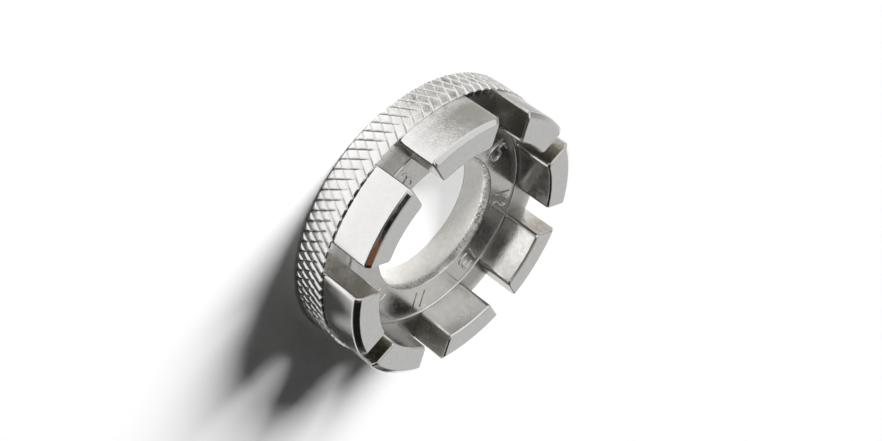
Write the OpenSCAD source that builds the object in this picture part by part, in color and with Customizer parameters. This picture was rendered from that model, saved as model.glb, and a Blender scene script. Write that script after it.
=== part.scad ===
// Ring spoke wrench: a slotted key ring with eight jaws, inside a knurled grip band.
// The back face lies on z = 0, the ring's axis is +Z and the jaws point up.

/* [Grip band] */
// Outer diameter over the knurl
band_od = 42; // [36:0.5:50]
// Width of the band along the axis, which is also the height of the slot floors
band_w = 5; // [4:0.1:7]
// Wall of the band, from its seat on the ring to the knurl's crests
band_wall = 0.8; // [0.7:0.05:1.2]
// Chamfer round the band's front edge
band_front_chamfer = 0.2; // [0.1:0.05:0.3]
// Chamfer round the band's back edge
band_back_chamfer = 0.4; // [0.1:0.05:0.5]
// Radial clearance between the band and its seat
seat_gap = 0.02; // [0:0.01:0.05]

/* [Knurl] */
// Grooves of each hand round the band
knurl_starts = 85; // [60:1:95]
// Angle between a groove and the ring's axis
knurl_angle = 30; // [20:1:40]
// Depth of a groove below the crests
knurl_depth = 0.25; // [0.1:0.05:0.35]
// How far the left-hand grooves reach from the back edge
knurl_short_reach = 3.7; // [2.5:0.1:4]
// Turn of the left-hand grooves against the right-hand ones, in degrees
knurl_offset = 0.45; // [0:0.05:4]

/* [Ring] */
// Diameter of the central bore
bore_d = 20.7; // [16:0.1:24]
// Depth of the flared lead-in at the bore's front
bore_flare_h = 1.2; // [0.5:0.1:2]
// Radial width of that lead-in
bore_flare_w = 0.3; // [0.1:0.05:0.6]
// Radial step from the knurl's crests in to the jaws' outer faces
jaw_step = 0.3; // [0.2:0.05:0.4]
// Radial thickness of the jaws
jaw_wall = 4.5; // [3:0.1:5]
// Height of the jaws above the slot floors
jaw_h = 6.35; // [4:0.05:9]
// Radial width of the chamfer on the jaws' outer tip edges
tip_outer_w = 0.85; // [0.3:0.05:1.2]
// Height of that chamfer
tip_outer_h = 0.5; // [0.2:0.05:1]
// Radial width of the chamfer on the jaws' inner tip edges
tip_inner_w = 0.35; // [0.1:0.05:0.8]
// Height of that chamfer
tip_inner_h = 0.2; // [0.1:0.05:0.8]
// Radius of the raised bead round the foot of the jaws
bead_r = 0.2; // [0.1:0.05:0.4]

/* [Slots] */
// Width of the slot at 0 degrees
slot_1_w = 5; // [3:0.05:7]
// Width of the slot at 45 degrees
slot_2_w = 3.9; // [3:0.05:7]
// Width of the slot at 90 degrees
slot_3_w = 4.6; // [3:0.05:7]
// Width of the slot at 135 degrees
slot_4_w = 3.45; // [3:0.05:7]
// Width of the slot at 180 degrees
slot_5_w = 6.1; // [3:0.05:7]
// Width of the slot at 225 degrees
slot_6_w = 3.95; // [3:0.05:7]
// Width of the slot at 270 degrees
slot_7_w = 4.6; // [3:0.05:7]
// Width of the slot at 315 degrees
slot_8_w = 3.65; // [3:0.05:7]
// Sideways shift of the widest slot, clockwise as seen from the front
slot_5_shift = 1; // [0:0.1:1.5]

/* [Hidden] */
$fn = 120;
slot_widths = [slot_1_w, slot_2_w, slot_3_w, slot_4_w, slot_5_w, slot_6_w, slot_7_w, slot_8_w];
slot_shifts = [0, 0, 0, 0, -slot_5_shift, 0, 0, 0];
slot_pitch = 360 / len(slot_widths);
// Radii from the outside in
band_r = band_od / 2;
jaw_r = band_r - jaw_step;
seat_r = band_r - band_wall;
jaw_inner_r = jaw_r - jaw_wall;
bead_ring_r = jaw_inner_r - bead_r;
bore_r = bore_d / 2;
flare_r = bore_r + bore_flare_w;
// Heights from the back face up
floor_z = band_w;
tip_z = floor_z + jaw_h;
// Room past a surface for a cutting shape
past = 1;
// Knurl: each groove is a straight V-cut, tangent to the band at the middle of its reach
knurl_pitch = 360 / knurl_starts;
knurl_tilt = tan(knurl_angle);

// Half section of the ring, before the slots: seat, shoulder, jaw, inner face and bore
module ring_section() {
    polygon([
        [bore_r, 0],
        [seat_r, 0],
        [seat_r, floor_z],
        [jaw_r, floor_z],
        [jaw_r, tip_z - tip_outer_h],
        [jaw_r - tip_outer_w, tip_z],
        [jaw_inner_r + tip_inner_w, tip_z],
        [jaw_inner_r, tip_z - tip_inner_h],
        [jaw_inner_r, floor_z],
        [flare_r, floor_z],
        [bore_r, floor_z - bore_flare_h],
    ]);
}

// One parallel-walled slot through the jaws at the given angle
module slot_cut(angle, width, shift) {
    inner = jaw_inner_r / 2;
    rotate([0, 0, angle])
        translate([inner, shift - width / 2, floor_z])
            cube([band_r + past - inner, width, jaw_h + past]);
}

// Upper half of a round bead on the inner face, at the foot of the jaws
module foot_bead() {
    rotate_extrude()
        translate([bead_ring_r, floor_z])
            intersection() {
                circle(r = bead_r);
                translate([-bead_r, -bead_r / 2])
                    square([2 * bead_r, 2 * bead_r]);
            }
}

module slotted_ring() {
    color([0.76, 0.75, 0.73])
        union() {
            difference() {
                rotate_extrude()
                    ring_section();
                for (i = [0 : len(slot_widths) - 1])
                    slot_cut(i * slot_pitch, slot_widths[i], slot_shifts[i]);
            }
            foot_bead();
        }
}

// Half section of the band, before the knurl
module band_section() {
    polygon([
        [seat_r + seat_gap, 0],
        [band_r - band_back_chamfer, 0],
        [band_r, band_back_chamfer],
        [band_r, band_w - band_front_chamfer],
        [band_r - band_front_chamfer, band_w],
        [seat_r + seat_gap, band_w],
    ]);
}

// One V-groove from the back edge up to the given reach, leaning to the given hand
module knurl_groove(reach, hand) {
    mid_z = reach / 2;
    half_length = (mid_z + past) / cos(knurl_angle);
    half_width = knurl_depth + past;
    rotate([0, 0, hand * knurl_tilt * mid_z / band_r * 180 / PI])
        translate([band_r - knurl_depth, 0, mid_z])
            rotate([-hand * knurl_angle, 0, 0])
                translate([0, 0, -half_length])
                    linear_extrude(half_length + mid_z / cos(knurl_angle))
                        polygon([[0, 0], [half_width, half_width], [half_width, -half_width]]);
}

module knurled_band() {
    color([0.72, 0.71, 0.69])
        difference() {
            rotate_extrude()
                band_section();
            for (i = [0 : knurl_starts - 1])
                rotate([0, 0, i * knurl_pitch]) {
                    knurl_groove(band_w + past, 1);
                    rotate([0, 0, -knurl_offset])
                        knurl_groove(knurl_short_reach, -1);
                }
        }
}

slotted_ring();
knurled_band();
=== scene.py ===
"""Looks of a ring spoke wrench: a plated slotted ring with eight jaws and a knurled grip band.

Sizes in the classes are in millimetres and turns in degrees, in the part's own frame.
Meshes are made in metres.
"""

import logging
import math
from dataclasses import dataclass, field
from enum import Enum
from typing import NamedTuple

import bmesh
import bpy
from bmesh.types import BMEdge, BMesh, BMFace, BMLayerItem, BMVert
from bpy.types import Camera, Light, Material, Mesh, Node, NodeOutputs, NodeSocket, NodeTree, Object, World
from mathutils import Matrix, Vector


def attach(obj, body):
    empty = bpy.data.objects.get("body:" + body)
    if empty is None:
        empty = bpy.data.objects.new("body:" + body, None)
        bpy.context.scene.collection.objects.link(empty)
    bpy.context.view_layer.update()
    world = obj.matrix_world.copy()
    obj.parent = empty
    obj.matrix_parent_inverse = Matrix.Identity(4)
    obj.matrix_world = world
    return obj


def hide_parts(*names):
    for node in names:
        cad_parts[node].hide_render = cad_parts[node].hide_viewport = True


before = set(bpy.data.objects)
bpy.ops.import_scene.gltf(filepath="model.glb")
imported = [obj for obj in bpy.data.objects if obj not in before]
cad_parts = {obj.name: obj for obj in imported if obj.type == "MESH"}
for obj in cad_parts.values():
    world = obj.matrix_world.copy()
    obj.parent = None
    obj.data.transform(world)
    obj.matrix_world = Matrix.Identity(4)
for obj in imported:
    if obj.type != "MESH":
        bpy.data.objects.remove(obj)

log = logging.getLogger("spoke_wrench")

MM = 0.001
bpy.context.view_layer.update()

Color = tuple[float, float, float, float]
# Start and end of a range, or a pair of sizes
Span = tuple[float, float]
# Points of a section or a stroke
Section = list[tuple[float, float]]
# Sector of the ring, and share of the way through it
Station = tuple[int, float]
# Widths of rounded edges by their two points
Rounds = dict[tuple[BMVert, BMVert], float]
# Place, direction and size of one section along a stroke
Stop = tuple[Vector, Vector, float]
# What a node's socket takes
Fed = float | tuple[float, ...] | Vector | NodeSocket

# Ends of a rising and of a falling ramp
RISING: Span = (0.0, 1.0)
FALLING: Span = (1.0, 0.0)
# Lengths below this count as nothing
TINY = 1e-6


class Slot(Enum):
    """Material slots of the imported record."""

    RING = "ring_plate"
    BAND = "band_plate"


class Mask(Enum):
    """Names of the point attributes that the finishes read."""

    EDGE = "edge"
    CREVICE = "crevice"
    RECESS = "recess"
    PITTED = "pitted"
    SATIN = "satin"


# Masks that the builders mark on faces; the others are measured on the mesh
MARKED = (Mask.RECESS, Mask.PITTED, Mask.SATIN)


class Shade(NamedTuple):
    """How dark, pitted and satin a face is, in the order of the marked masks; the darkness is painted shade
    with duller plate.
    """

    dark: float = 0.0
    pitted: float = 0.0
    satin: float = 0.0


def polar(radius: float, angle: float, height: float) -> Vector:
    """Point at a radius and an angle in radians round the ring's axis, in millimetres."""
    return Vector((radius * math.cos(angle), radius * math.sin(angle), height))


def direction(turn: float, rise: float) -> Vector:
    """Direction from the object to something in the surround.

    Args:
        turn: Where it stands round the axis, in degrees.
        rise: How high it stands over the floor, in degrees.

    Returns:
        The direction, of length 1.
    """
    around = math.radians(turn)
    up = math.radians(rise)
    return Vector((math.cos(up) * math.cos(around), math.cos(up) * math.sin(around), math.sin(up)))


def smoothstep(low: float, high: float, value: float) -> float:
    """Smooth ramp from 0 at low to 1 at high."""
    share = min(max((value - low) / (high - low), 0.0), 1.0)
    return share * share * (3.0 - 2.0 * share)


def even(start: float, end: float, cells: int) -> list[float]:
    """Evenly spaced values from start to end, both included."""
    return [start + (end - start) * step / cells for step in range(cells + 1)]


def link(name: str, data: Mesh | Light | Camera) -> Object:
    """Puts a new object in the scene's own collection.

    Args:
        name: The object's name.
        data: Its mesh, lamp or camera data.

    Returns:
        The object.
    """
    piece = bpy.data.objects.new(name, data)
    bpy.context.scene.collection.objects.link(piece)
    return piece


def to_mesh(bm: BMesh, name: str) -> Mesh:
    """Turns a finished construction into a mesh whose faces look outward.

    Args:
        bm: The construction, which is freed.
        name: The mesh's name.

    Returns:
        The mesh.
    """
    bmesh.ops.recalc_face_normals(bm, faces=bm.faces)
    mesh = bpy.data.meshes.new(name)
    bm.to_mesh(mesh)
    bm.free()
    return mesh


def apply_modifiers(piece: Object) -> None:
    """Replaces a piece's mesh with the result of its modifiers.

    Args:
        piece: The mesh object, whose modifiers are removed.
    """
    graph = bpy.context.evaluated_depsgraph_get()
    mesh = bpy.data.meshes.new_from_object(piece.evaluated_get(graph), depsgraph=graph)
    old = piece.data
    piece.modifiers.clear()
    piece.data = mesh
    mesh.name = piece.name
    bpy.data.meshes.remove(old)


def mean_mark(vert: BMVert, layer: BMLayerItem) -> float:
    """Mean of a mark over the faces round a point."""
    return sum(face[layer] for face in vert.link_faces) / max(len(vert.link_faces), 1)


def write_masks(mesh: Mesh, full_angle: float = 45.0) -> None:
    """Stores the masks that the finishes read at each point: folds measured here, and marks on faces.

    Args:
        mesh: The mesh to measure.
        full_angle: Fold, in degrees, at which a mask reaches 1.
    """
    folds = bmesh.new()
    folds.from_mesh(mesh)
    values = {mask: [0.0] * len(folds.verts) for mask in Mask}
    convex = values[Mask.EDGE]
    concave = values[Mask.CREVICE]
    for edge in folds.edges:
        if len(edge.link_faces) != 2:
            continue
        share = math.degrees(edge.calc_face_angle_signed(0.0)) / full_angle
        for vert in edge.verts:
            convex[vert.index] = max(convex[vert.index], min(share, 1.0))
            concave[vert.index] = max(concave[vert.index], min(-share, 1.0))
    for mask in MARKED:
        layer = folds.faces.layers.float.get(mask.value)
        if layer:
            values[mask] = [mean_mark(vert, layer) for vert in folds.verts]
            mesh.attributes.remove(mesh.attributes[mask.value])
    folds.free()
    for mask, points in values.items():
        if mask.value not in mesh.attributes:
            stored = mesh.attributes.new(mask.value, "FLOAT", "POINT")
            stored.data.foreach_set("value", points)


def settle_normals(piece: Object, crease: float, flat_weight: int = 80) -> None:
    """Shades a piece smooth, with creases kept sharp and flat faces kept flat.

    Args:
        piece: The mesh object.
        crease: Fold, in degrees, above which an edge stays sharp.
        flat_weight: How strongly large faces pull the normals to their own.
    """
    mesh = piece.data
    mesh.shade_smooth()
    mesh.set_sharp_from_angle(angle=math.radians(crease))
    weighted = piece.modifiers.new("flat_faces", "WEIGHTED_NORMAL")
    weighted.keep_sharp = True
    weighted.weight = flat_weight
    apply_modifiers(piece)


def dress(piece: Object, crease: float, material: Material) -> None:
    """Writes a piece's masks, settles its normals and gives it its finish.

    Args:
        piece: The mesh object.
        crease: Fold, in degrees, above which an edge stays sharp.
        material: The finish.
    """
    write_masks(piece.data)
    settle_normals(piece, crease)
    piece.data.materials.append(material)


class Nodes:
    """Short way to add and join nodes in one node tree."""

    def __init__(self, tree: NodeTree) -> None:
        """Keeps the tree that nodes are added to."""
        self.tree = tree

    def add(self, kind: str, settings: dict[str, object] | None = None, **inputs: Fed) -> Node:
        """Adds a node, sets it up and joins its inputs.

        Args:
            kind: The node's type name.
            settings: Node properties, such as operation.
            inputs: Values or sockets by input name, with underscores for spaces, or by number as in i0.

        Returns:
            The new node.
        """
        node = self.tree.nodes.new(kind)
        for name, value in (settings or {}).items():
            setattr(node, name, value)
        for name, value in inputs.items():
            key = int(name[1:]) if name[1:].isdigit() else name.replace("_", " ")
            self.feed(node.inputs[key], value)
        return node

    def feed(self, socket: NodeSocket, value: Fed) -> None:
        """Joins a socket to another socket, or sets its value.

        Args:
            socket: The input socket.
            value: An output socket, or a plain value.
        """
        if isinstance(value, NodeSocket):
            self.tree.links.new(value, socket)
        else:
            socket.default_value = value

    def math(self, operation: str, first: Fed, second: Fed = 0.0) -> NodeSocket:
        """Result of a math node on two values or sockets."""
        return self.add("ShaderNodeMath", {"operation": operation}, i0=first, i1=second).outputs[0]

    def times(self, first: Fed, second: Fed) -> NodeSocket:
        """Product of two values or sockets."""
        return self.math("MULTIPLY", first, second)

    def plus(self, first: Fed, second: Fed) -> NodeSocket:
        """Sum of two values or sockets."""
        return self.math("ADD", first, second)

    def ramp(self, value: Fed, span: Span, ends: Span = RISING) -> NodeSocket:
        """Adds a smooth clamped ramp.

        Args:
            value: The value or socket that runs along it.
            span: Where the ramp starts and stops.
            ends: What it gives there.

        Returns:
            The ramp's result.
        """
        settings = {"interpolation_type": "SMOOTHSTEP", "clamp": True}
        node = self.add("ShaderNodeMapRange", settings, Value=value, From_Min=span[0], From_Max=span[1],
                        To_Min=ends[0], To_Max=ends[1])
        return node.outputs["Result"]

    def mix(self, share: Fed, first: Fed, second: Fed) -> NodeSocket:
        """Colour between two colours or sockets."""
        return self.add("ShaderNodeMix", {"data_type": "RGBA"}, i0=share, i6=first, i7=second).outputs[2]

    def spot(self) -> NodeSocket:
        """Place on the surface, in the object's own frame."""
        return self.add("ShaderNodeTexCoord").outputs["Object"]

    def axes(self, vector: Fed) -> NodeOutputs:
        """The three parts of a vector, by the names of the axes."""
        return self.add("ShaderNodeSeparateXYZ", Vector=vector).outputs

    def dot(self, first: Fed, second: Fed) -> NodeSocket:
        """Dot product of two vectors."""
        node = self.add("ShaderNodeVectorMath", {"operation": "DOT_PRODUCT"}, i0=first, i1=second)
        return node.outputs["Value"]

    def noise(self, spot: NodeSocket, scale: Fed, detail: float) -> NodeSocket:
        """Value of a noise texture at a place, with so many cells to the metre."""
        return self.add("ShaderNodeTexNoise", Vector=spot, Scale=scale, Detail=detail).outputs[0]

    def mask(self, mask: Mask) -> NodeSocket:
        """Value of one of the stored masks."""
        return self.add("ShaderNodeAttribute", {"attribute_name": mask.value}).outputs["Fac"]

    def effect(self, tree: NodeTree, **inputs: Fed) -> NodeOutputs:
        """Places a shared effect, and gives its outputs."""
        return self.add("ShaderNodeGroup", {"node_tree": tree}, **inputs).outputs


def group(name: str, inputs: dict[str, float], outputs: list[str]) -> tuple[NodeTree, Nodes, NodeOutputs]:
    """New shader node group with float sockets.

    Args:
        name: The group's name.
        inputs: Input names with their default values.
        outputs: Output names.

    Returns:
        The group, a builder for its nodes, and what is given to it.
    """
    tree = bpy.data.node_groups.new(name, "ShaderNodeTree")
    for title, value in inputs.items():
        socket = tree.interface.new_socket(name=title, in_out="INPUT", socket_type="NodeSocketFloat")
        socket.default_value = value
    for title in outputs:
        tree.interface.new_socket(name=title, in_out="OUTPUT", socket_type="NodeSocketFloat")
    nodes = Nodes(tree)
    return tree, nodes, nodes.add("NodeGroupInput").outputs


@dataclass
class Effects:
    """Surface effects that every plated finish shares, each one a shader node group.

    Scales are in cells to the metre, and a span is where a noise starts and stops to show.
    """

    # Cast grain
    wave_scale: float = 260.0
    peel_scale: float = 1400.0
    fine_scale: float = 4200.0
    peel_part: float = 0.6
    tone_span: Span = (0.35, 0.65)
    # Pits, and the patches that they gather in
    pit_scale: float = 2600.0
    pit_span: Span = (0.66, 0.74)
    patch_scale: float = 420.0
    patch_span: Span = (0.42, 0.68)
    patch_gain: float = 0.05
    crowd_gain: float = 0.14
    # Grime with painted shade in creases, and wear that is partly a painted edge highlight
    grime_scale: float = 900.0
    grime_span: Span = (0.22, 0.55)
    wear_scale: float = 700.0
    wear_span: Span = (0.25, 0.6)
    # Haze with a painted dark reflection: its fade over its reach, its uneven edge in degrees, and the slope
    # of faces that it keeps off
    haze_span: Span = (0.35, 0.95)
    smear_scale: float = 900.0
    smear_span: Span = (0.25, 0.75)
    smear_turn: Span = (-2.0, 2.0)
    speckle_scale: float = 5000.0
    speckle_span: Span = (0.2, 0.8)
    speckle_turn: Span = (-5.0, 5.0)
    upright_span: Span = (0.3, 0.8)
    # The groups themselves
    grain: NodeTree = field(init=False)
    pits: NodeTree = field(init=False)
    grime_and_shade: NodeTree = field(init=False)
    wear_and_highlight: NodeTree = field(init=False)
    haze_and_reflection: NodeTree = field(init=False)

    def __post_init__(self) -> None:
        """Makes the groups."""
        self.grain = self.make_grain()
        self.pits = self.make_pits()
        self.grime_and_shade = self.make_grime_and_shade()
        self.wear_and_highlight = self.make_wear_and_highlight()
        self.haze_and_reflection = self.make_haze_and_reflection()

    def make_grain(self) -> NodeTree:
        """Cast unevenness under the plate: broad waves, orange peel and fine grain.

        Returns:
            The group, which puts out a height and a tone.
        """
        inputs = {"Waves": 1.0, "Peel": 1.0, "Fine": 1.0}
        tree, nodes, given = group("cast_grain", inputs, ["Height", "Tone"])
        spot = nodes.spot()
        waves = nodes.noise(spot, self.wave_scale, 1.0)
        peel = nodes.noise(spot, self.peel_scale, 2.0)
        fine = nodes.noise(spot, self.fine_scale, 1.0)
        height = nodes.times(waves, given["Waves"])
        height = nodes.plus(height, nodes.times(peel, given["Peel"]))
        height = nodes.plus(height, nodes.times(fine, given["Fine"]))
        blend = nodes.plus(nodes.times(peel, self.peel_part), nodes.times(fine, 1.0 - self.peel_part))
        nodes.add("NodeGroupOutput", Height=height, Tone=nodes.ramp(blend, self.tone_span))
        return tree

    def make_pits(self) -> NodeTree:
        """Small uneven specks and pits that gather in patches.

        Returns:
            The group, which puts out a mask.
        """
        tree, nodes, given = group("pits", {"Share": 0.3, "Crowd": 0.0}, ["Mask"])
        spot = nodes.spot()
        specks = nodes.noise(spot, self.pit_scale, 2.0)
        gather = nodes.ramp(nodes.noise(spot, self.patch_scale, 2.0), self.patch_span)
        raised = nodes.plus(specks, nodes.times(gather, self.patch_gain))
        raised = nodes.plus(raised, nodes.times(given["Crowd"], self.crowd_gain))
        dots = nodes.ramp(raised, self.pit_span)
        nodes.add("NodeGroupOutput", Mask=nodes.times(dots, given["Share"]))
        return tree

    def make_grime_and_shade(self) -> NodeTree:
        """Matt dirt and painted shade that gather in creases and grooves.

        Returns:
            The group, which puts out a mask.
        """
        tree, nodes, given = group("crease_grime_and_shade", {"Amount": 0.5, "Narrow": 1.6}, ["Mask"])
        patches = nodes.ramp(nodes.noise(nodes.spot(), self.grime_scale, 3.0), self.grime_span)
        deep = nodes.math("POWER", nodes.mask(Mask.CREVICE), given["Narrow"])
        nodes.add("NodeGroupOutput", Mask=nodes.times(nodes.times(deep, patches), given["Amount"]))
        return tree

    def make_wear_and_highlight(self) -> NodeTree:
        """Brighter rubbed metal along outer edges, partly a painted highlight.

        Returns:
            The group, which puts out a mask.
        """
        tree, nodes, given = group("edge_wear_and_highlight", {"Amount": 0.6}, ["Mask"])
        patches = nodes.ramp(nodes.noise(nodes.spot(), self.wear_scale, 2.0), self.wear_span)
        rubbed = nodes.times(nodes.mask(Mask.EDGE), patches)
        nodes.add("NodeGroupOutput", Mask=nodes.times(rubbed, given["Amount"]))
        return tree

    def make_haze_and_reflection(self) -> NodeTree:
        """Rougher plate and a painted dark reflection on the upright faces of one side.

        Returns:
            The group, which puts out a mask.
        """
        tree, nodes, given = group("one_side_painted_reflection", {"Turn": 180.0, "Reach": 42.0}, ["Mask"])
        spot = nodes.spot()
        place = nodes.axes(spot)
        turn = nodes.math("RADIANS", given["Turn"])
        ahead = nodes.times(place["X"], nodes.math("COSINE", turn))
        ahead = nodes.plus(ahead, nodes.times(place["Y"], nodes.math("SINE", turn)))
        flat = nodes.add("ShaderNodeCombineXYZ", X=place["X"], Y=place["Y"]).outputs[0]
        away = nodes.add("ShaderNodeVectorMath", {"operation": "LENGTH"}, i0=flat).outputs["Value"]
        near = nodes.math("DIVIDE", ahead, nodes.math("MAXIMUM", away, MM))
        off = nodes.math("DEGREES", nodes.math("ARCCOSINE", nodes.math("MINIMUM", near, 1.0)))
        smear = nodes.noise(spot, self.smear_scale, 3.0)
        speckle = nodes.noise(spot, self.speckle_scale, 1.0)
        off = nodes.plus(off, nodes.ramp(smear, self.smear_span, self.smear_turn))
        off = nodes.plus(off, nodes.ramp(speckle, self.speckle_span, self.speckle_turn))
        on_one_side = nodes.ramp(nodes.math("DIVIDE", off, given["Reach"]), self.haze_span, FALLING)
        facing = nodes.add("ShaderNodeNewGeometry").outputs["Normal"]
        rise = nodes.math("ABSOLUTE", nodes.axes(facing)["Z"])
        upright = nodes.ramp(rise, self.upright_span, FALLING)
        nodes.add("NodeGroupOutput", Mask=nodes.times(on_one_side, upright))
        return tree


@dataclass(frozen=True)
class PlatedFinish:
    """Bright nickel plate over a casting."""

    name: str
    # Colours from clean plate to dirt, with painted shade, a painted reflection and a painted highlight
    # among them
    metal: Color = (0.84, 0.835, 0.825, 1.0)
    worn_and_highlight: Color = (0.94, 0.93, 0.91, 1.0)
    stain: Color = (0.70, 0.685, 0.65, 1.0)
    dull_and_shade: Color = (0.325, 0.302, 0.248, 1.0)
    painted_reflection: Color = (0.275, 0.262, 0.235, 1.0)
    dirt_and_shade: Color = (0.10, 0.085, 0.07, 1.0)
    stain_share: float = 0.25
    dull_and_shade_power: float = 1.5
    dull_and_shade_span: Span = (0.85, 1.0)
    # Gloss
    roughness: Span = (0.06, 0.13)
    satin_roughness: float = 0.45
    cloudy_roughness: float = 0.36
    grime_roughness: float = 0.3
    grime_matt: float = 0.5
    # Relief, with the bump's depth in metres
    waves: float = 1.0
    peel: float = 0.35
    fine: float = 0.45
    bump: float = 0.000018
    # Pits: their share, how many stray ones there are, and how dark and deep they look
    pit_share: float = 0.6
    pit_stray: float = 0.12
    pit_recess: float = 0.4
    pit_haze: float = 0.3
    pit_dark: float = 0.7
    pit_depth: float = 0.5
    # Grime and painted crease shade, wear and painted edge highlight, haze and painted reflection, which
    # keeps off creases and recesses
    grime_and_shade: float = 0.35
    grime_narrow: float = 1.6
    wear_and_highlight: float = 0.5
    haze_and_reflection: float = 0.95
    haze_turn: float = 180.0
    haze_reach: float = 42.0
    crease_clear: float = 3.0

    def material(self, effects: Effects) -> Material:
        """Makes the finish as a node material.

        Args:
            effects: The shared surface effects.

        Returns:
            The material.
        """
        made = bpy.data.materials.new(self.name)
        made.use_nodes = True
        nodes = Nodes(made.node_tree)
        grain = nodes.effect(effects.grain, Waves=self.waves, Peel=self.peel, Fine=self.fine)
        tone = grain["Tone"]
        recess = nodes.mask(Mask.RECESS)
        pitted = nodes.mask(Mask.PITTED)
        satin = nodes.mask(Mask.SATIN)
        crevice = nodes.mask(Mask.CREVICE)
        grime_and_shade = nodes.effect(effects.grime_and_shade, Amount=self.grime_and_shade, Narrow=self.grime_narrow)["Mask"]
        wear_and_highlight = nodes.effect(effects.wear_and_highlight, Amount=self.wear_and_highlight)["Mask"]
        haze_and_reflection = nodes.effect(effects.haze_and_reflection, Turn=self.haze_turn, Reach=self.haze_reach)["Mask"]
        inside = nodes.math("MAXIMUM", recess, nodes.times(crevice, self.crease_clear))
        haze_and_reflection = nodes.times(haze_and_reflection, nodes.times(nodes.ramp(inside, RISING, FALLING), self.haze_and_reflection))
        rough_cast = nodes.plus(pitted, nodes.times(haze_and_reflection, self.pit_haze))
        pits = nodes.effect(effects.pits, Share=self.pit_share, Crowd=rough_cast)["Mask"]
        many = nodes.plus(nodes.times(recess, self.pit_recess), nodes.plus(rough_cast, self.pit_stray))
        pits = nodes.times(pits, many)

        color = nodes.mix(nodes.times(tone, self.stain_share), self.metal, self.stain)
        # Painted dark reflection on the upright faces of one side
        color = nodes.mix(haze_and_reflection, color, self.painted_reflection)
        # Edge wear that is partly a painted highlight
        color = nodes.mix(wear_and_highlight, color, self.worn_and_highlight)
        # Painted shade in recesses, together with duller plate
        dark = nodes.math("POWER", recess, self.dull_and_shade_power)
        color = nodes.mix(nodes.times(dark, nodes.ramp(tone, RISING, self.dull_and_shade_span)), color, self.dull_and_shade)
        # Dirt in pits, and painted shade in creases and grooves
        color = nodes.mix(nodes.math("MAXIMUM", grime_and_shade, nodes.times(pits, self.pit_dark)), color, self.dirt_and_shade)

        rough = nodes.ramp(tone, RISING, self.roughness)
        plain = self.roughness[1]
        for mask, more in ((grime_and_shade, self.grime_roughness), (satin, self.satin_roughness - plain),
                           (haze_and_reflection, self.cloudy_roughness - plain)):
            rough = nodes.plus(rough, nodes.times(mask, more))
        depth = nodes.times(pits, nodes.plus(pitted, self.pit_depth))
        height = nodes.math("SUBTRACT", grain["Height"], depth)
        bump = nodes.add("ShaderNodeBump", Height=height, Distance=self.bump, Strength=1.0)
        metallic = nodes.math("SUBTRACT", 1.0, nodes.times(grime_and_shade, self.grime_matt))

        shader = made.node_tree.nodes["Principled BSDF"]
        nodes.feed(shader.inputs["Base Color"], color)
        nodes.feed(shader.inputs["Roughness"], rough)
        nodes.feed(shader.inputs["Metallic"], metallic)
        nodes.feed(shader.inputs["Normal"], bump.outputs["Normal"])
        return made


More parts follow.
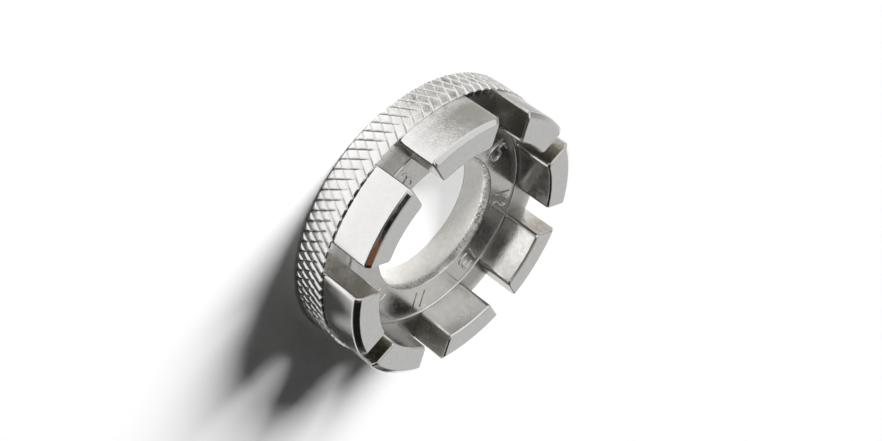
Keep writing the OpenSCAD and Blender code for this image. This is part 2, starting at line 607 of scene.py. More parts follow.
@dataclass
class SlottedRing:
    """The key ring: a flared bore, an inner face with a bead, and jaws parted by slots."""

    bore_r: float = 10.35
    flare_w: float = 0.3
    flare_h: float = 1.2
    bead_r: float = 0.2
    jaw_inner_r: float = 16.2
    jaw_r: float = 20.7
    seat_r: float = 20.2
    floor_z: float = 5.0
    tip_z: float = 11.35
    # Width and height of the tips' chamfers
    tip_outer: Span = (0.85, 0.5)
    tip_inner: Span = (0.35, 0.2)
    slot_widths: tuple[float, ...] = (5.0, 3.9, 4.6, 3.45, 6.1, 3.95, 4.6, 3.65)
    slot_shifts: tuple[float, ...] = (0.0, 0.0, 0.0, 0.0, -1.0, 0.0, 0.0, 0.0)
    # Cells of the mesh round the axis, and along each part of the section
    jaw_cells: int = 14
    slot_cells: int = 5
    bead_cells: int = 6
    face_cells: int = 4
    bore_cells: int = 3
    back_cells: int = 3
    seat_cells: int = 2
    floor_cells: int = 4
    wall_cells: int = 3
    tip_cells: int = 3
    # Roundings of the edges, and the fold above which an edge stays sharp
    edge_round: float = 0.5
    corner_round: float = 0.3
    shoulder_round: float = 0.18
    tip_round: float = 0.14
    bore_round: float = 0.3
    back_round: float = 0.12
    round_steps: int = 3
    crease: float = 40.0
    # How the faces look, their darkness painted shade with duller plate; the lead-in's pits lie round one
    # turn and fade over a span
    face_shade: Shade = Shade(0.36, 0.0, 0.32)
    wall_shade: Shade = Shade(0.42, 0.0, 0.3)
    slot_shade: Shade = Shade(0.66, 0.15, 0.8)
    slot_wall_shade: Shade = Shade(0.95, 0.35, 0.35)
    flare_shade: Shade = Shade(0.05, 1.0, 0.5)
    bore_shade: Shade = Shade(0.6, 0.1, 0.3)
    rough_turn: float = 100.0
    rough_span: Span = (0.55, 0.9)
    finish: PlatedFinish = field(default_factory=lambda: PlatedFinish("nickel_ring"))

    def wall_angle(self, slot: int, side: int, radius: float) -> float:
        """Finds where one wall of a slot crosses a radius.

        Args:
            slot: The slot's number; the count of slots stands for the first one, a turn later.
            side: The wall, -1 or 1.
            radius: The radius.

        Returns:
            The angle, in radians.
        """
        count = len(self.slot_widths)
        across = self.slot_shifts[slot % count] + side * self.slot_widths[slot % count] / 2
        return slot * math.tau / count + math.asin(across / radius)

    def stations(self) -> list[Station]:
        """Lists the places round the ring that carry a section.

        Returns:
            Sector and share of the way through it; even sectors are slots, odd ones jaws.
        """
        spots = []
        for sector in range(2 * len(self.slot_widths)):
            cells = self.jaw_cells if sector % 2 else self.slot_cells
            spots.extend((sector, step / cells) for step in range(cells))
        return spots

    def angle(self, station: Station, radius: float) -> float:
        """Finds where a station crosses a radius, following the slots' parallel walls.

        Args:
            station: The station.
            radius: The radius.

        Returns:
            The angle, in radians.
        """
        sector, share = station
        slot, is_jaw = divmod(sector, 2)
        side = 1 if is_jaw else -1
        reach = min(max(radius, self.jaw_inner_r), self.jaw_r)
        start = self.wall_angle(slot, side, reach)
        end = self.wall_angle(slot + is_jaw, -side, reach)
        return start + (end - start) * share

    def point(self, bm: BMesh, station: Station, radius: float, height: float) -> BMVert:
        """New point of the mesh at a station."""
        return bm.verts.new(polar(radius, self.angle(station, radius), height) * MM)

    def body_section(self) -> Section:
        """Draws the body from the foot of the jaws in over the bead, down the bore and round to the seat.

        Returns:
            Radius and height of each point.
        """
        bead_mid = self.jaw_inner_r - self.bead_r
        points = [(self.jaw_inner_r, self.floor_z)]
        for turn in even(0.0, math.pi, self.bead_cells)[1:-1]:
            radius = bead_mid + self.bead_r * math.cos(turn)
            points.append((radius, self.floor_z + self.bead_r * math.sin(turn)))
        face = even(bead_mid - self.bead_r, self.bore_r + self.flare_w, self.face_cells)
        points.extend((radius, self.floor_z) for radius in face)
        bore = even(self.floor_z - self.flare_h, 0.0, self.bore_cells)
        points.extend((self.bore_r, height) for height in bore)
        back = even(self.bore_r, self.seat_r, self.back_cells)[1:]
        points.extend((radius, 0.0) for radius in back)
        seat = even(0.0, self.floor_z, self.seat_cells)[1:]
        points.extend((self.seat_r, height) for height in seat)
        return points

    def jaw_section(self) -> Section:
        """Draws a jaw from its shoulder up the outside, over the tip and down the inside to above its foot.

        Returns:
            Radius and height of each point.
        """
        outer_w, outer_h = self.tip_outer
        inner_w, inner_h = self.tip_inner
        outside = even(self.floor_z, self.tip_z - outer_h, self.wall_cells)
        tip = even(self.jaw_r - outer_w, self.jaw_inner_r + inner_w, self.tip_cells)
        inside = even(self.tip_z - inner_h, self.floor_z, self.wall_cells)[:-1]
        points = [(self.jaw_r, height) for height in outside]
        points.extend((radius, self.tip_z) for radius in tip)
        points.extend((self.jaw_inner_r, height) for height in inside)
        return points

    def flare_row(self) -> int:
        """Row of the lead-in among the body's rows, counted from the foot of the jaws in."""
        return self.bead_cells + self.face_cells

    def body_shade(self, row: int, turn: float) -> Shade:
        """Finds how a face of the body looks.

        Args:
            row: The face's row, counted from the foot of the jaws in.
            turn: Where it lies round the axis, in radians.

        Returns:
            Its shade; the lead-in is rough on one side and smooth on the other.
        """
        flare = self.flare_row()
        if self.bead_cells <= row < flare:
            return self.face_shade
        if row == flare:
            rough_side = 0.5 + 0.5 * math.cos(turn - math.radians(self.rough_turn))
            pitted = self.flare_shade.pitted * smoothstep(*self.rough_span, rough_side)
            return self.flare_shade._replace(pitted=pitted)
        if flare < row <= flare + self.bore_cells:
            return self.bore_shade
        return Shade()

    def mark(self, bm: BMesh, faces: list[BMFace], shade: Shade) -> None:
        """Notes how some faces look.

        Args:
            bm: The mesh under construction.
            faces: The faces to mark.
            shade: Their shade.
        """
        for mask, value in zip(MARKED, shade):
            layer = bm.faces.layers.float[mask.value]
            for face in faces:
                face[layer] = value

    def join(self, bm: BMesh, first: list[BMVert], second: list[BMVert]) -> list[BMFace]:
        """Adds the quads between two rows of points of the same length, and returns them."""
        sides = zip(first, first[1:], second[1:], second)
        return [bm.faces.new(corners) for corners in sides]

    def add_body(self, bm: BMesh, spots: list[Station], rounds: Rounds) -> tuple[list[BMVert], list[BMVert]]:
        """Adds the ring's body below the jaws.

        Args:
            bm: The mesh under construction.
            spots: All stations.
            rounds: Widths of rounded edges by pair of points, added to.

        Returns:
            The rings of points at the jaws' inner foot and at the top of the band's seat.
        """
        body = [[self.point(bm, spot, *place) for spot in spots] for place in self.body_section()]
        for row, (lower, upper) in enumerate(zip(body, body[1:])):
            faces = self.join(bm, [*lower, lower[0]], [*upper, upper[0]])
            for face, spot in zip(faces, spots):
                self.mark(bm, [face], self.body_shade(row, self.angle(spot, self.bore_r)))
        flare_top = self.flare_row()
        bore_top = flare_top + 1
        bore_end = bore_top + self.bore_cells
        widths = {flare_top: self.tip_round, bore_top: self.bore_round, bore_end: self.back_round}
        for row, width in widths.items():
            ring = body[row]
            for pair in zip(ring, [*ring[1:], ring[0]]):
                rounds[pair] = width
        return body[0], body[-1]

    def add_floor(self, bm: BMesh, spots: list[Station], foot: list[BMVert],
                  seat: list[BMVert]) -> dict[int, list[BMVert]]:
        """Adds the floors of the slots.

        Args:
            bm: The mesh under construction.
            spots: All stations.
            foot: Ring of points at the jaws' inner foot.
            seat: Ring of points at the top of the band's seat.

        Returns:
            Rows of floor points from foot to seat, by station index.
        """
        radii = even(self.jaw_inner_r, self.seat_r, self.floor_cells)[1:-1]
        rows = {}
        for k, spot in enumerate(spots):
            sector, share = spot
            if sector % 2 == 0 or share == 0.0:
                between = [self.point(bm, spot, radius, self.floor_z) for radius in radii]
                rows[k] = [foot[k], *between, seat[k]]
        for k, (sector, _) in enumerate(spots):
            if sector % 2 == 0:
                self.mark(bm, self.join(bm, rows[k], rows[(k + 1) % len(spots)]), self.slot_shade)
        return rows

    def add_jaw(self, bm: BMesh, stations: list[Station], feet: list[BMVert], seats: list[BMVert],
                floors: list[list[BMVert]], rounds: Rounds) -> None:
        """Adds one jaw on the ring's body.

        Args:
            bm: The mesh under construction.
            stations: The jaw's stations, from wall to wall.
            feet: Points at its inner foot, by station.
            seats: Points at the top of the band's seat, by station.
            floors: Rows of floor points at its two walls.
            rounds: Widths of rounded edges by pair of points, added to.
        """
        section = self.jaw_section()
        chains = []
        for station, foot, seat in zip(stations, feet, seats):
            chains.append([seat, *(self.point(bm, station, *place) for place in section), foot])
        # Where the tip's edges lie along a chain, after the seat
        outer_top = self.wall_cells + 1
        tip_out = outer_top + 1
        tip_in = tip_out + self.tip_cells
        inner_top = tip_in + 1
        for first, second in zip(chains, chains[1:]):
            self.mark(bm, self.join(bm, first, second)[inner_top:], self.wall_shade)
        for chain, floor in zip((chains[0], chains[-1]), floors):
            self.mark(bm, [bm.faces.new([*chain, *floor[1:-1]])], self.slot_wall_shade)
            for index in range(1, len(chain) - 1):
                on_tip = outer_top <= index < tip_in
                rounds[(chain[index], chain[index + 1])] = self.corner_round if on_tip else self.edge_round
        widths = {outer_top: self.shoulder_round, tip_out: self.tip_round, tip_in: self.tip_round,
                  inner_top: self.tip_round}
        for index, width in widths.items():
            for first, second in zip(chains, chains[1:]):
                rounds[(first[index], second[index])] = width

    def build(self) -> Mesh:
        """Builds the ring's mesh, with the widths of its rounded edges as bevel weights.

        Returns:
            The mesh, in metres, before its edges are rounded.
        """
        bm = bmesh.new()
        weight = bm.edges.layers.float.new("bevel_weight_edge")
        for mask in MARKED:
            bm.faces.layers.float.new(mask.value)
        spots = self.stations()
        rounds: Rounds = {}
        foot, seat = self.add_body(bm, spots, rounds)
        floor = self.add_floor(bm, spots, foot, seat)
        for start, (sector, share) in enumerate(spots):
            if sector % 2 == 1 and share == 0.0:
                turn = [(start + step) % len(spots) for step in range(self.jaw_cells + 1)]
                self.add_jaw(bm, [spots[k] for k in turn], [foot[k] for k in turn], [seat[k] for k in turn],
                             [floor[turn[0]], floor[turn[-1]]], rounds)
        for pair, width in rounds.items():
            bm.edges.get(pair)[weight] = width / self.widest()
        return to_mesh(bm, "slotted_ring_look")

    def widest(self) -> float:
        """Width of the largest rounding."""
        return max(self.edge_round, self.corner_round, self.shoulder_round, self.tip_round, self.bore_round,
                   self.back_round)

    def round_edges(self, piece: Object) -> None:
        """Rounds the ring's edges by their weights.

        Args:
            piece: The ring.
        """
        rounding = piece.modifiers.new("rounding", "BEVEL")
        rounding.limit_method = "WEIGHT"
        rounding.offset_type = "OFFSET"
        rounding.width = self.widest() * MM
        rounding.segments = self.round_steps
        rounding.use_clamp_overlap = True
        apply_modifiers(piece)

    def make(self, effects: Effects) -> Object:
        """Builds, rounds and dresses the ring.

        Args:
            effects: The shared surface effects.

        Returns:
            The finished piece.
        """
        piece = link("ring_casting", self.build())
        self.round_edges(piece)
        dress(piece, self.crease, self.finish.material(effects))
        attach(piece, "root")
        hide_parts("slotted_ring")
        return piece


@dataclass
class KnurledBand:
    """The grip band, with a diamond knurl whose left-hand grooves stop short of the front."""

    radius: float = 21.0
    width: float = 5.0
    seat_r: float = 20.22
    starts: int = 85
    lean: float = 30.0
    depth: float = 0.25
    short_reach: float = 3.7
    offset: float = 0.45
    front_chamfer: float = 0.12
    back_round: float = 0.4
    # Where the left-hand grooves start to fade and end, before and after their reach
    run_out: Span = (0.25, 0.1)
    # Places of the sheet's lines beside a groove, and of the flat crests, in half widths of a groove
    flank: float = 0.75
    brow: float = 1.2
    crest: float = 1.1
    # Room past the band's edges before the sheet is cut
    margin: float = 0.8
    # Heights of the cuts that the rounded back edge bends at, in shares of its radius
    back_cuts: tuple[float, ...] = (0.25, 0.55, 1.0)
    # Distance within which points are joined, and within which a point counts as on the band's edge
    weld: float = 0.002
    rim_gap: float = 0.0001
    # Fold above which an edge stays sharp
    crease: float = 38.0
    # Dirt and painted shade in the right-hand grooves, beside the left-hand ones and alone
    right_dirt_and_shade: Span = (0.3, 0.75)
    # The band's near-black groove tone is painted shade with dirt, and its dark one-side tone a painted
    # reflection
    finish: PlatedFinish = field(
        default_factory=lambda: PlatedFinish("nickel_band", painted_reflection=(0.22, 0.213, 0.195, 1.0),
                                             dirt_and_shade=(0.04, 0.035, 0.03, 1.0), peel=0.25,
                                             grime_and_shade=1.0, grime_narrow=3.0, haze_and_reflection=1.0))

    def pitch(self) -> float:
        """Distance between the grooves of one family, measured round the band."""
        return math.tau * self.radius / self.starts

    def slope(self) -> float:
        """How far a groove runs round the band for each millimetre along its axis."""
        return math.tan(math.radians(self.lean))

    def half_groove(self) -> float:
        """Half width of a groove, in pitches."""
        return self.depth / math.cos(math.radians(self.lean)) / self.pitch()

    def groove(self, share: float) -> float:
        """Finds the depth across a family of grooves.

        Args:
            share: Distance from the middle of a groove, in pitches.

        Returns:
            The depth below the crests.
        """
        across = self.pitch() * math.cos(math.radians(self.lean))
        away = abs(share - round(share)) * across
        return max(0.0, self.depth - away)

    def profile(self, height: float) -> float:
        """Finds the largest radius at a height, with the back edge rounded and the front edge cut.

        Args:
            height: Height over the back face.

        Returns:
            The radius.
        """
        back = self.back_round
        if height < back:
            return self.radius - back + math.sqrt(max(0.0, back * back - (back - height) ** 2))
        return self.radius - max(0.0, height - (self.width - self.front_chamfer))

    def sheet_point(self, right: float, left: float) -> tuple[Vector, float]:
        """Places one point of the unrolled knurl.

        Args:
            right: Its place across the right-hand grooves, in pitches.
            left: Its place across the left-hand grooves, in pitches.

        Returns:
            The point, and the share of dirt and painted shade there.
        """
        shift = math.radians(self.offset) * self.radius
        along = (self.pitch() * (right + left) - shift) / 2
        height = (self.pitch() * (left - right) - shift) / (2 * self.slope())
        before, after = self.run_out
        fade = 1.0 - smoothstep(self.short_reach - before, self.short_reach + after, height)
        right_cut = self.groove(right)
        left_cut = self.groove(left) * fade
        crest = self.crest * self.half_groove()
        on_crest = all(crest < place % 1.0 < 1.0 - crest for place in (right, left))
        cut = 0.0 if on_crest else max(right_cut, left_cut)
        crossed, alone = self.right_dirt_and_shade
        dirt_and_shade = max(right_cut * (alone + (crossed - alone) * fade), left_cut) / self.depth
        return Vector((along, height, cut)), dirt_and_shade

    def add_cell(self, bm: BMesh, corners: list[BMVert]) -> None:
        """Adds one cell of the sheet, split along its steeper diagonal if it isn't flat.

        Args:
            bm: The sheet.
            corners: The cell's four corners in order.
        """
        first = abs(corners[0].co.z - corners[2].co.z)
        second = abs(corners[1].co.z - corners[3].co.z)
        if max(first, second) < TINY:
            cells = ((0, 1, 2, 3),)
        elif first > second:
            cells = ((0, 1, 2), (0, 2, 3))
        else:
            cells = ((0, 1, 3), (1, 2, 3))
        for cell in cells:
            bm.faces.new([corners[n] for n in cell])

    def cut(self, bm: BMesh, height: float, side: int = 1, trim: bool = False) -> None:
        """Cuts the sheet at a height, and clears what lies past the cut if asked.

        Args:
            bm: The sheet.
            height: Where it is cut.
            side: Which side lies past the cut, -1 or 1.
            trim: Whether that side is cleared.
        """
        bmesh.ops.bisect_plane(bm, geom=[*bm.verts, *bm.edges, *bm.faces], dist=TINY,
                               plane_co=(0, height, 0), plane_no=(0, side, 0), clear_outer=trim)

    def sheet(self) -> BMesh:
        """Unrolled knurl: x runs round the band, y along its axis and z is the depth.

        Returns:
            The sheet, whose edges follow both groove families, cut to the band's width.
        """
        flank = self.flank * self.half_groove()
        brow = self.brow * self.half_groove()
        marks = (0.0, flank, brow, 1.0 - brow, 1.0 - flank)
        steps = len(marks)
        rise = 2 * self.slope() / self.pitch()
        low = math.floor(rise * -self.margin)
        high = math.ceil(rise * (self.width + self.margin))
        bm = bmesh.new()
        # Groove darkness, dirt together with painted shade, kept as the crevice mask
        dirt_and_shade = bm.verts.layers.float.new(Mask.CREVICE.value)
        grid = {}

        def vert(right: int, left: int) -> BMVert:
            """Gives the point where two lines of the sheet cross, made when first asked for.

            Args:
                right: Number of the line that follows the right-hand grooves.
                left: Number of the line that follows the left-hand grooves.

            Returns:
                The point.
            """
            if (right, left) not in grid:
                places = [line // steps + marks[line % steps] for line in (right, left)]
                spot, share = self.sheet_point(*places)
                grid[right, left] = bm.verts.new(spot)
                grid[right, left][dirt_and_shade] = share
            return grid[right, left]

        for i in range(self.starts * steps):
            start = i // steps
            for j in range((start + low) * steps, (start + high + 1) * steps):
                self.add_cell(bm, [vert(i, j), vert(i + 1, j), vert(i + 1, j + 1), vert(i, j + 1)])
        self.cut(bm, 0.0, -1, trim=True)
        self.cut(bm, self.width, 1, trim=True)
        for share in self.back_cuts:
            self.cut(bm, share * self.back_round)
        self.cut(bm, self.width - self.front_chamfer)
        return bm

    def build(self) -> Mesh:
        """Rolls the sheet up and closes it into a band.

        Returns:
            The mesh, in metres.
        """
        bm = self.sheet()
        for vert in bm.verts:
            along, height, cut = vert.co
            radius = min(self.radius - cut, self.profile(height))
            vert.co = polar(radius, along / self.radius, height) * MM
        bmesh.ops.remove_doubles(bm, verts=bm.verts, dist=self.weld * MM)
        rims = []
        for height in (0.0, self.width):
            rim = [edge for edge in bm.edges if edge.is_boundary
                   and all(abs(vert.co.z - height * MM) < self.rim_gap * MM for vert in edge.verts)]
            grown = bmesh.ops.extrude_edge_only(bm, edges=rim)["geom"]
            for vert in (part for part in grown if isinstance(part, BMVert)):
                angle = math.atan2(vert.co.y, vert.co.x)
                vert.co = polar(self.seat_r, angle, height) * MM
            rims.extend(part for part in grown if isinstance(part, BMEdge) and part.is_boundary)
        bmesh.ops.bridge_loops(bm, edges=rims)
        return to_mesh(bm, "knurled_band_look")

    def make(self, effects: Effects) -> Object:
        """Builds and dresses the band.

        Args:
            effects: The shared surface effects.

        Returns:
            The finished piece.
        """
        piece = link("knurled_grip", self.build())
        dress(piece, self.crease, self.finish.material(effects))
        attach(piece, "root")
        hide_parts("knurled_band")
        return piece


@dataclass
class GaugeNumbers:
    """Raised gauge numbers on the inner face, one beside each slot, with their tops to the outside."""

    labels: tuple[str, ...] = ("11", "13", "12", "15", "10", "13", "12", "14")
    face_z: float = 5.0
    foot_r: float = 11.8
    height: float = 2.9
    width: float = 1.75
    pitch: float = 1.65
    shift: float = -1.2
    stroke: float = 0.34
    # How far each number stands over the face, which casting and rubbing have made uneven
    rises: tuple[float, ...] = (0.1, 0.12, 0.26, 0.2, 0.2, 0.14, 0.2, 0.2)
    sunk: float = 0.05
    # How dark the numbers look, as painted shade with duller plate
    recess: float = 0.1
    # Cells of a round figure and of a stroke's arch, rounds of corner cutting, and turns of a stroke's end
    loop_cells: int = 16
    arch_cells: int = 6
    softenings: int = 2
    end_turns: tuple[float, ...] = (40.0, 70.0)
    # Fold above which an edge stays sharp
    crease: float = 50.0
    finish: PlatedFinish = field(default_factory=lambda: PlatedFinish("nickel_numbers", fine=0.3))

    def shapes(self) -> dict[str, list[Section]]:
        """Draws the strokes of each figure.

        Returns:
            Points of each stroke, in shares of the figure's width and height.
        """
        turns = even(0.0, math.tau, self.loop_cells)
        return {
            "0": [[(0.5 + 0.5 * math.sin(t), 0.5 + 0.5 * math.cos(t)) for t in turns]],
            "1": [[(0.5, 0.0), (0.5, 1.0)]],
            "2": [[(0.05, 0.75), (0.2, 1.0), (0.8, 1.0), (1.0, 0.7), (0.0, 0.0), (1.0, 0.0)]],
            "3": [[(0.0, 0.95), (0.9, 1.0), (0.95, 0.6), (0.4, 0.52)],
                  [(0.4, 0.52), (1.0, 0.5), (1.0, 0.0), (0.0, 0.05)]],
            "4": [[(0.75, 0.0), (0.75, 1.0), (0.0, 0.3), (1.0, 0.3)]],
            "5": [[(0.95, 1.0), (0.1, 1.0), (0.05, 0.55), (0.95, 0.65), (1.0, 0.0), (0.0, 0.05)]],
        }

    def closes(self, path: list[Vector]) -> bool:
        """Whether a path ends where it starts."""
        return (path[0] - path[-1]).length < TINY

    def soften(self, points: Section) -> list[Vector]:
        """Cuts the corners of a stroke, as a cast figure has them.

        Args:
            points: The stroke's points.

        Returns:
            The softer path, with the same two ends.
        """
        path = [Vector(point) for point in points]
        for _ in range(self.softenings):
            inner = []
            for a, b in zip(path, path[1:]):
                inner.extend((a.lerp(b, 0.25), a.lerp(b, 0.75)))
            path = [path[0], *inner[1:-1], path[-1]]
        return path

    def place(self, slot: int, figure: int, spot: Vector) -> Vector:
        """Places a point of a figure in the part's plane.

        Args:
            slot: Which slot the number stands beside.
            figure: Place of the figure in its number.
            spot: Point in shares of the figure's width and height.

        Returns:
            The point's x and y, in millimetres.
        """
        turn = slot * math.tau / len(self.labels)
        out = Vector((math.cos(turn), math.sin(turn)))
        along = Vector((math.sin(turn), -math.cos(turn)))
        read = self.shift + (figure - 0.5) * self.pitch + (spot.x - 0.5) * self.width
        return out * (self.foot_r + spot.y * self.height) + along * read

    def section(self, height: float) -> Section:
        """Draws the half-round section of a stroke.

        Args:
            height: How far the stroke stands over the face.

        Returns:
            Distance across and height over the face of each point.
        """
        half = self.stroke / 2
        arch = even(0.0, math.pi, self.arch_cells)
        points = [(half * math.cos(turn), height * math.sin(turn)) for turn in arch]
        return [(half, -self.sunk), *points, (-half, -self.sunk)]

    def stops(self, path: list[Vector]) -> list[Stop]:
        """Lists where sections stand along a stroke, with rounded ends on an open one.

        Args:
            path: Points in the part's plane, in millimetres; a closed path repeats its first point.

        Returns:
            Place, direction and size of each section.
        """
        closed = self.closes(path)
        spots = path[:-1] if closed else path
        count = len(spots)
        stops = []
        for k, spot in enumerate(spots):
            before = spots[k - 1] if closed or k else spot
            after = spots[(k + 1) % count] if closed or k < count - 1 else spot
            stops.append((spot, (after - before).normalized(), 1.0))
        if closed:
            return stops
        (start, start_way, _), (end, end_way, _) = stops[0], stops[-1]
        for turn in self.end_turns:
            angle = math.radians(turn)
            step = self.stroke / 2 * math.sin(angle)
            stops.insert(0, (start - start_way * step, start_way, math.cos(angle)))
            stops.append((end + end_way * step, end_way, math.cos(angle)))
        return stops

    def sweep(self, bm: BMesh, path: list[Vector], height: float) -> None:
        """Adds one raised stroke along a path.

        Args:
            bm: The mesh under construction.
            path: Points in the part's plane, in millimetres; a closed path repeats its first point.
            height: How far the stroke stands over the face.
        """
        rings = []
        for spot, way, size in self.stops(path):
            side = Vector((-way.y, way.x))
            ring = []
            for across, up in self.section(height):
                flat = spot + side * across * size
                rise = up * size if up > 0 else up
                ring.append(bm.verts.new(Vector((flat.x, flat.y, self.face_z + rise)) * MM))
            rings.append(ring)
        pairs = list(zip(rings, rings[1:]))
        if self.closes(path):
            pairs.append((rings[-1], rings[0]))
        for one, two in pairs:
            for k in range(len(one)):
                bm.faces.new((one[k - 1], one[k], two[k], two[k - 1]))
        if not self.closes(path):
            bm.faces.new(rings[0])
            bm.faces.new(rings[-1])

    def build(self) -> Mesh:
        """Builds all the numbers.

        Returns:
            The mesh, in metres.
        """
        bm = bmesh.new()
        shapes = self.shapes()
        for slot, label in enumerate(self.labels):
            for figure, sign in enumerate(label):
                for stroke in shapes[sign]:
                    path = [self.place(slot, figure, spot) for spot in self.soften(stroke)]
                    self.sweep(bm, path, self.rises[slot])
        dull_and_shade = bm.faces.layers.float.new(Mask.RECESS.value)
        for face in bm.faces:
            face[dull_and_shade] = self.recess
        return to_mesh(bm, "gauge_numbers")

    def make(self, effects: Effects) -> Object:
        """Builds and dresses the numbers.

        Args:
            effects: The shared surface effects.

        Returns:
            The finished piece.
        """
        piece = link("gauge_numbers", self.build())
        dress(piece, self.crease, self.finish.material(effects))
        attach(piece, "root")
        return piece


@dataclass(frozen=True)
class Panel:
    """Round soft panel or dark flag in the surround, with the angles where it starts and ends to fade."""

    turn: float
    rise: float
    inner: float
    outer: float
    tone: Color

    def span(self) -> Span:
        """Cosines of the faded and the full edge."""
        return math.cos(math.radians(self.outer)), math.cos(math.radians(self.inner))


@dataclass
class Studio:
    """Floor, light and camera."""

    # Camera: its place and axes, lens, sensor and near limit
    place: tuple[float, float, float] = (-93.81, -134.64, 99.99)
    right: tuple[float, float, float] = (-0.2569, 0.6674, 0.6988)
    up: tuple[float, float, float] = (-0.8319, 0.2151, -0.5114)
    back: tuple[float, float, float] = (-0.4917, -0.7127, 0.5001)
    lens: float = 56.30
    sensor: float = 36.0
    near: float = 5.0
    # Floor, with its half width in metres
    floor_half: float = 3.0
    floor_tones: tuple[Color, Color] = ((0.95, 0.95, 0.95, 1.0), (0.945, 0.945, 0.945, 1.0))
    floor_mottle: float = 40.0
    floor_roughness: float = 0.9
    # Lamps
    sun_distance: float = 500.0
    key_turn: float = 147.0
    key_rise: float = 26.0
    key_spread: float = 30.0
    key_power: float = 7.2
    fill_turn: float = 150.0
    fill_rise: float = 60.0
    fill_spread: float = 70.0
    fill_power: float = 0.2
    top_height: float = 300.0
    top_reach: float = 20.0
    top_power: float = 2.2
    top_blend: float = 0.4
    top_size: float = 4.0
    # Surround: tones, the way to its light side, and spans of its ramps
    dark: Color = (0.04, 0.038, 0.034, 1.0)
    glow: Color = (0.28, 0.28, 0.275, 1.0)
    light: Color = (0.30, 0.30, 0.295, 1.0)
    pale: Color = (0.92, 0.92, 0.92, 1.0)
    light_side: tuple[float, float, float] = (-0.49, 0.85, 0.17)
    light_span: Span = (-0.1, 0.5)
    glow_start: Span = (0.1, 0.18)
    glow_end: Span = (0.34, 0.41)
    pale_rise: Span = (0.1, 0.36)
    pale_side: Span = (-0.17, 0.5)
    panels: tuple[Panel, ...] = (
        Panel(0.0, 90.0, 18.0, 28.0, (0.5, 0.5, 0.495, 1.0)),
        Panel(63.0, 25.0, 20.0, 34.0, (0.56, 0.56, 0.555, 1.0)),
        Panel(128.0, 57.0, 16.0, 28.0, (0.75, 0.75, 0.75, 1.0)),
        Panel(171.0, 30.0, 16.0, 32.0, (1.0, 1.0, 1.0, 1.0)),
        Panel(-155.0, 56.0, 10.0, 26.0, (0.90, 0.89, 0.87, 1.0)),
        Panel(-140.0, 24.0, 9.0, 18.0, (0.5, 0.5, 0.495, 1.0)),
        Panel(-79.0, 22.0, 8.0, 15.0, (0.29, 0.29, 0.285, 1.0)),
        Panel(1.0, 38.0, 14.0, 22.0, (0.010, 0.010, 0.009, 1.0)),
        Panel(-55.0, 33.0, 8.0, 14.0, (0.010, 0.010, 0.009, 1.0)),
        Panel(-102.0, 34.0, 7.0, 13.0, (0.012, 0.012, 0.011, 1.0)),
        Panel(-21.0, 66.5, 7.0, 11.0, (0.17, 0.075, 0.04, 1.0)),
        Panel(184.0, 86.0, 4.5, 7.0, (0.012, 0.011, 0.010, 1.0)),
        Panel(-40.0, 86.5, 5.0, 8.0, (0.012, 0.011, 0.010, 1.0)),
        Panel(-38.0, 80.0, 5.5, 8.0, (0.012, 0.011, 0.010, 1.0)),
    )

    def camera(self) -> Object:
        """Sets the camera up at the photograph's viewing angle.

        Returns:
            The camera.
        """
        data = bpy.data.cameras.new("camera")
        data.sensor_fit = "HORIZONTAL"
        data.sensor_width = self.sensor
        data.lens = self.lens
        data.clip_start = self.near * MM
        eye = link("camera", data)
        axes = Matrix((self.right, self.up, self.back)).transposed().to_4x4()
        eye.matrix_world = Matrix.Translation(Vector(self.place) * MM) @ axes
        bpy.context.scene.camera = eye
        return eye

    def floor(self) -> Object:
        """Lays a plain white floor that keeps the object's shadow.

        Returns:
            The floor.
        """
        half = self.floor_half
        corners = [(-half, -half, 0.0), (half, -half, 0.0), (half, half, 0.0), (-half, half, 0.0)]
        mesh = bpy.data.meshes.new("floor")
        mesh.from_pydata(corners, [], [(0, 1, 2, 3)])
        ground = link("floor", mesh)
        made = bpy.data.materials.new("floor_white")
        made.use_nodes = True
        nodes = Nodes(made.node_tree)
        mottle = nodes.noise(nodes.spot(), self.floor_mottle, 2.0)
        shader = made.node_tree.nodes["Principled BSDF"]
        nodes.feed(shader.inputs["Base Color"], nodes.mix(mottle, *self.floor_tones))
        shader.inputs["Roughness"].default_value = self.floor_roughness
        shader.inputs["Specular IOR Level"].default_value = 0.0
        mesh.materials.append(made)
        return ground

    def sun(self, name: str, spread: float, power: float, turn: float, rise: float) -> Object:
        """Adds a far soft lamp that lights the floor and the object's matt parts.

        Args:
            name: The lamp's name.
            spread: Its width in degrees.
            power: Its strength.
            turn: Where it stands round the axis, in degrees.
            rise: How high it stands, in degrees.

        Returns:
            The lamp.
        """
        data = bpy.data.lights.new(name, "SUN")
        data.angle = math.radians(spread)
        data.energy = power
        lamp = link(name, data)
        aim = direction(turn, rise)
        lamp.location = aim * self.sun_distance * MM
        lamp.rotation_euler = aim.to_track_quat("Z", "Y").to_euler()
        lamp.visible_glossy = False
        return lamp

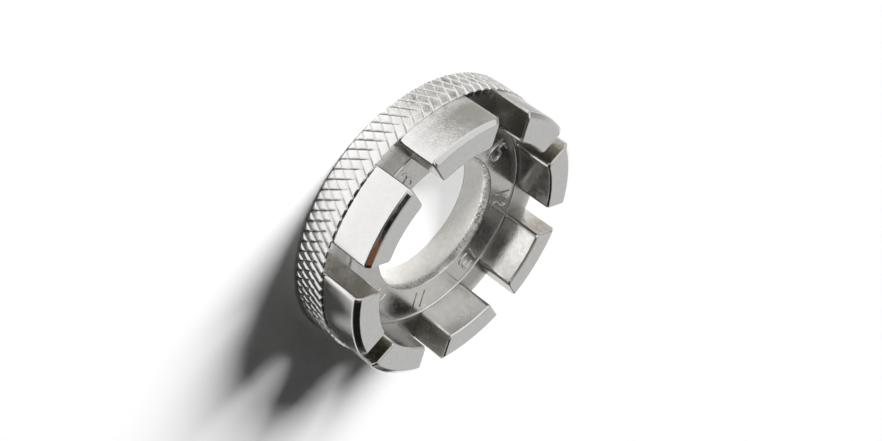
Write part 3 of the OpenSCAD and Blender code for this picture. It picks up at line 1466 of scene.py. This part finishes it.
    def top(self) -> Object:
        """Adds a narrow soft light straight down through the ring.

        Returns:
            The lamp.
        """
        data = bpy.data.lights.new("top", "SPOT")
        data.energy = self.top_power
        data.spot_size = 2 * math.atan(self.top_reach / self.top_height)
        data.spot_blend = self.top_blend
        data.shadow_soft_size = self.top_size * MM
        lamp = link("top", data)
        lamp.location = (0.0, 0.0, self.top_height * MM)
        lamp.visible_glossy = False
        return lamp

    def surround(self) -> World:
        """Makes a room that is lighter on one side, with a pale horizon, soft panels and dark flags.

        Returns:
            The world, which shows in reflections and doesn't light matt surfaces.
        """
        world = bpy.data.worlds.new("studio")
        bpy.context.scene.world = world
        world.use_nodes = True
        world.cycles_visibility.diffuse = False
        nodes = Nodes(world.node_tree)
        way = nodes.add("ShaderNodeTexCoord").outputs["Generated"]
        axes = nodes.axes(way)
        side = nodes.ramp(nodes.dot(way, self.light_side), self.light_span)
        tone = nodes.mix(side, self.dark, self.light)
        start = nodes.ramp(axes["Z"], self.glow_start)
        end = nodes.ramp(axes["Z"], self.glow_end, FALLING)
        tone = nodes.mix(nodes.times(start, end), tone, self.glow)
        low = nodes.ramp(axes["Z"], self.pale_rise, FALLING)
        behind = nodes.ramp(axes["X"], self.pale_side, FALLING)
        tone = nodes.mix(nodes.times(low, behind), tone, self.pale)
        for panel in self.panels:
            near = nodes.dot(way, direction(panel.turn, panel.rise))
            tone = nodes.mix(nodes.ramp(near, panel.span()), tone, panel.tone)
        nodes.feed(world.node_tree.nodes["Background"].inputs["Color"], tone)
        return world

    def make(self) -> None:
        """Sets up camera, floor and light."""
        bpy.context.scene.view_settings.view_transform = "Standard"
        self.camera()
        self.floor()
        self.sun("key", self.key_spread, self.key_power, self.key_turn, self.key_rise)
        self.sun("fill", self.fill_spread, self.fill_power, self.fill_turn, self.fill_rise)
        self.top()
        self.surround()


def main() -> None:
    """Builds the wrench and its studio."""
    logging.basicConfig(level=logging.INFO, format="%(message)s")
    effects = Effects()
    for assembly in (SlottedRing(), KnurledBand(), GaugeNumbers()):
        piece = assembly.make(effects)
        log.info("%s: %d faces", piece.name, len(piece.data.polygons))
    Studio().make()


if __name__ == "__main__":
    main()
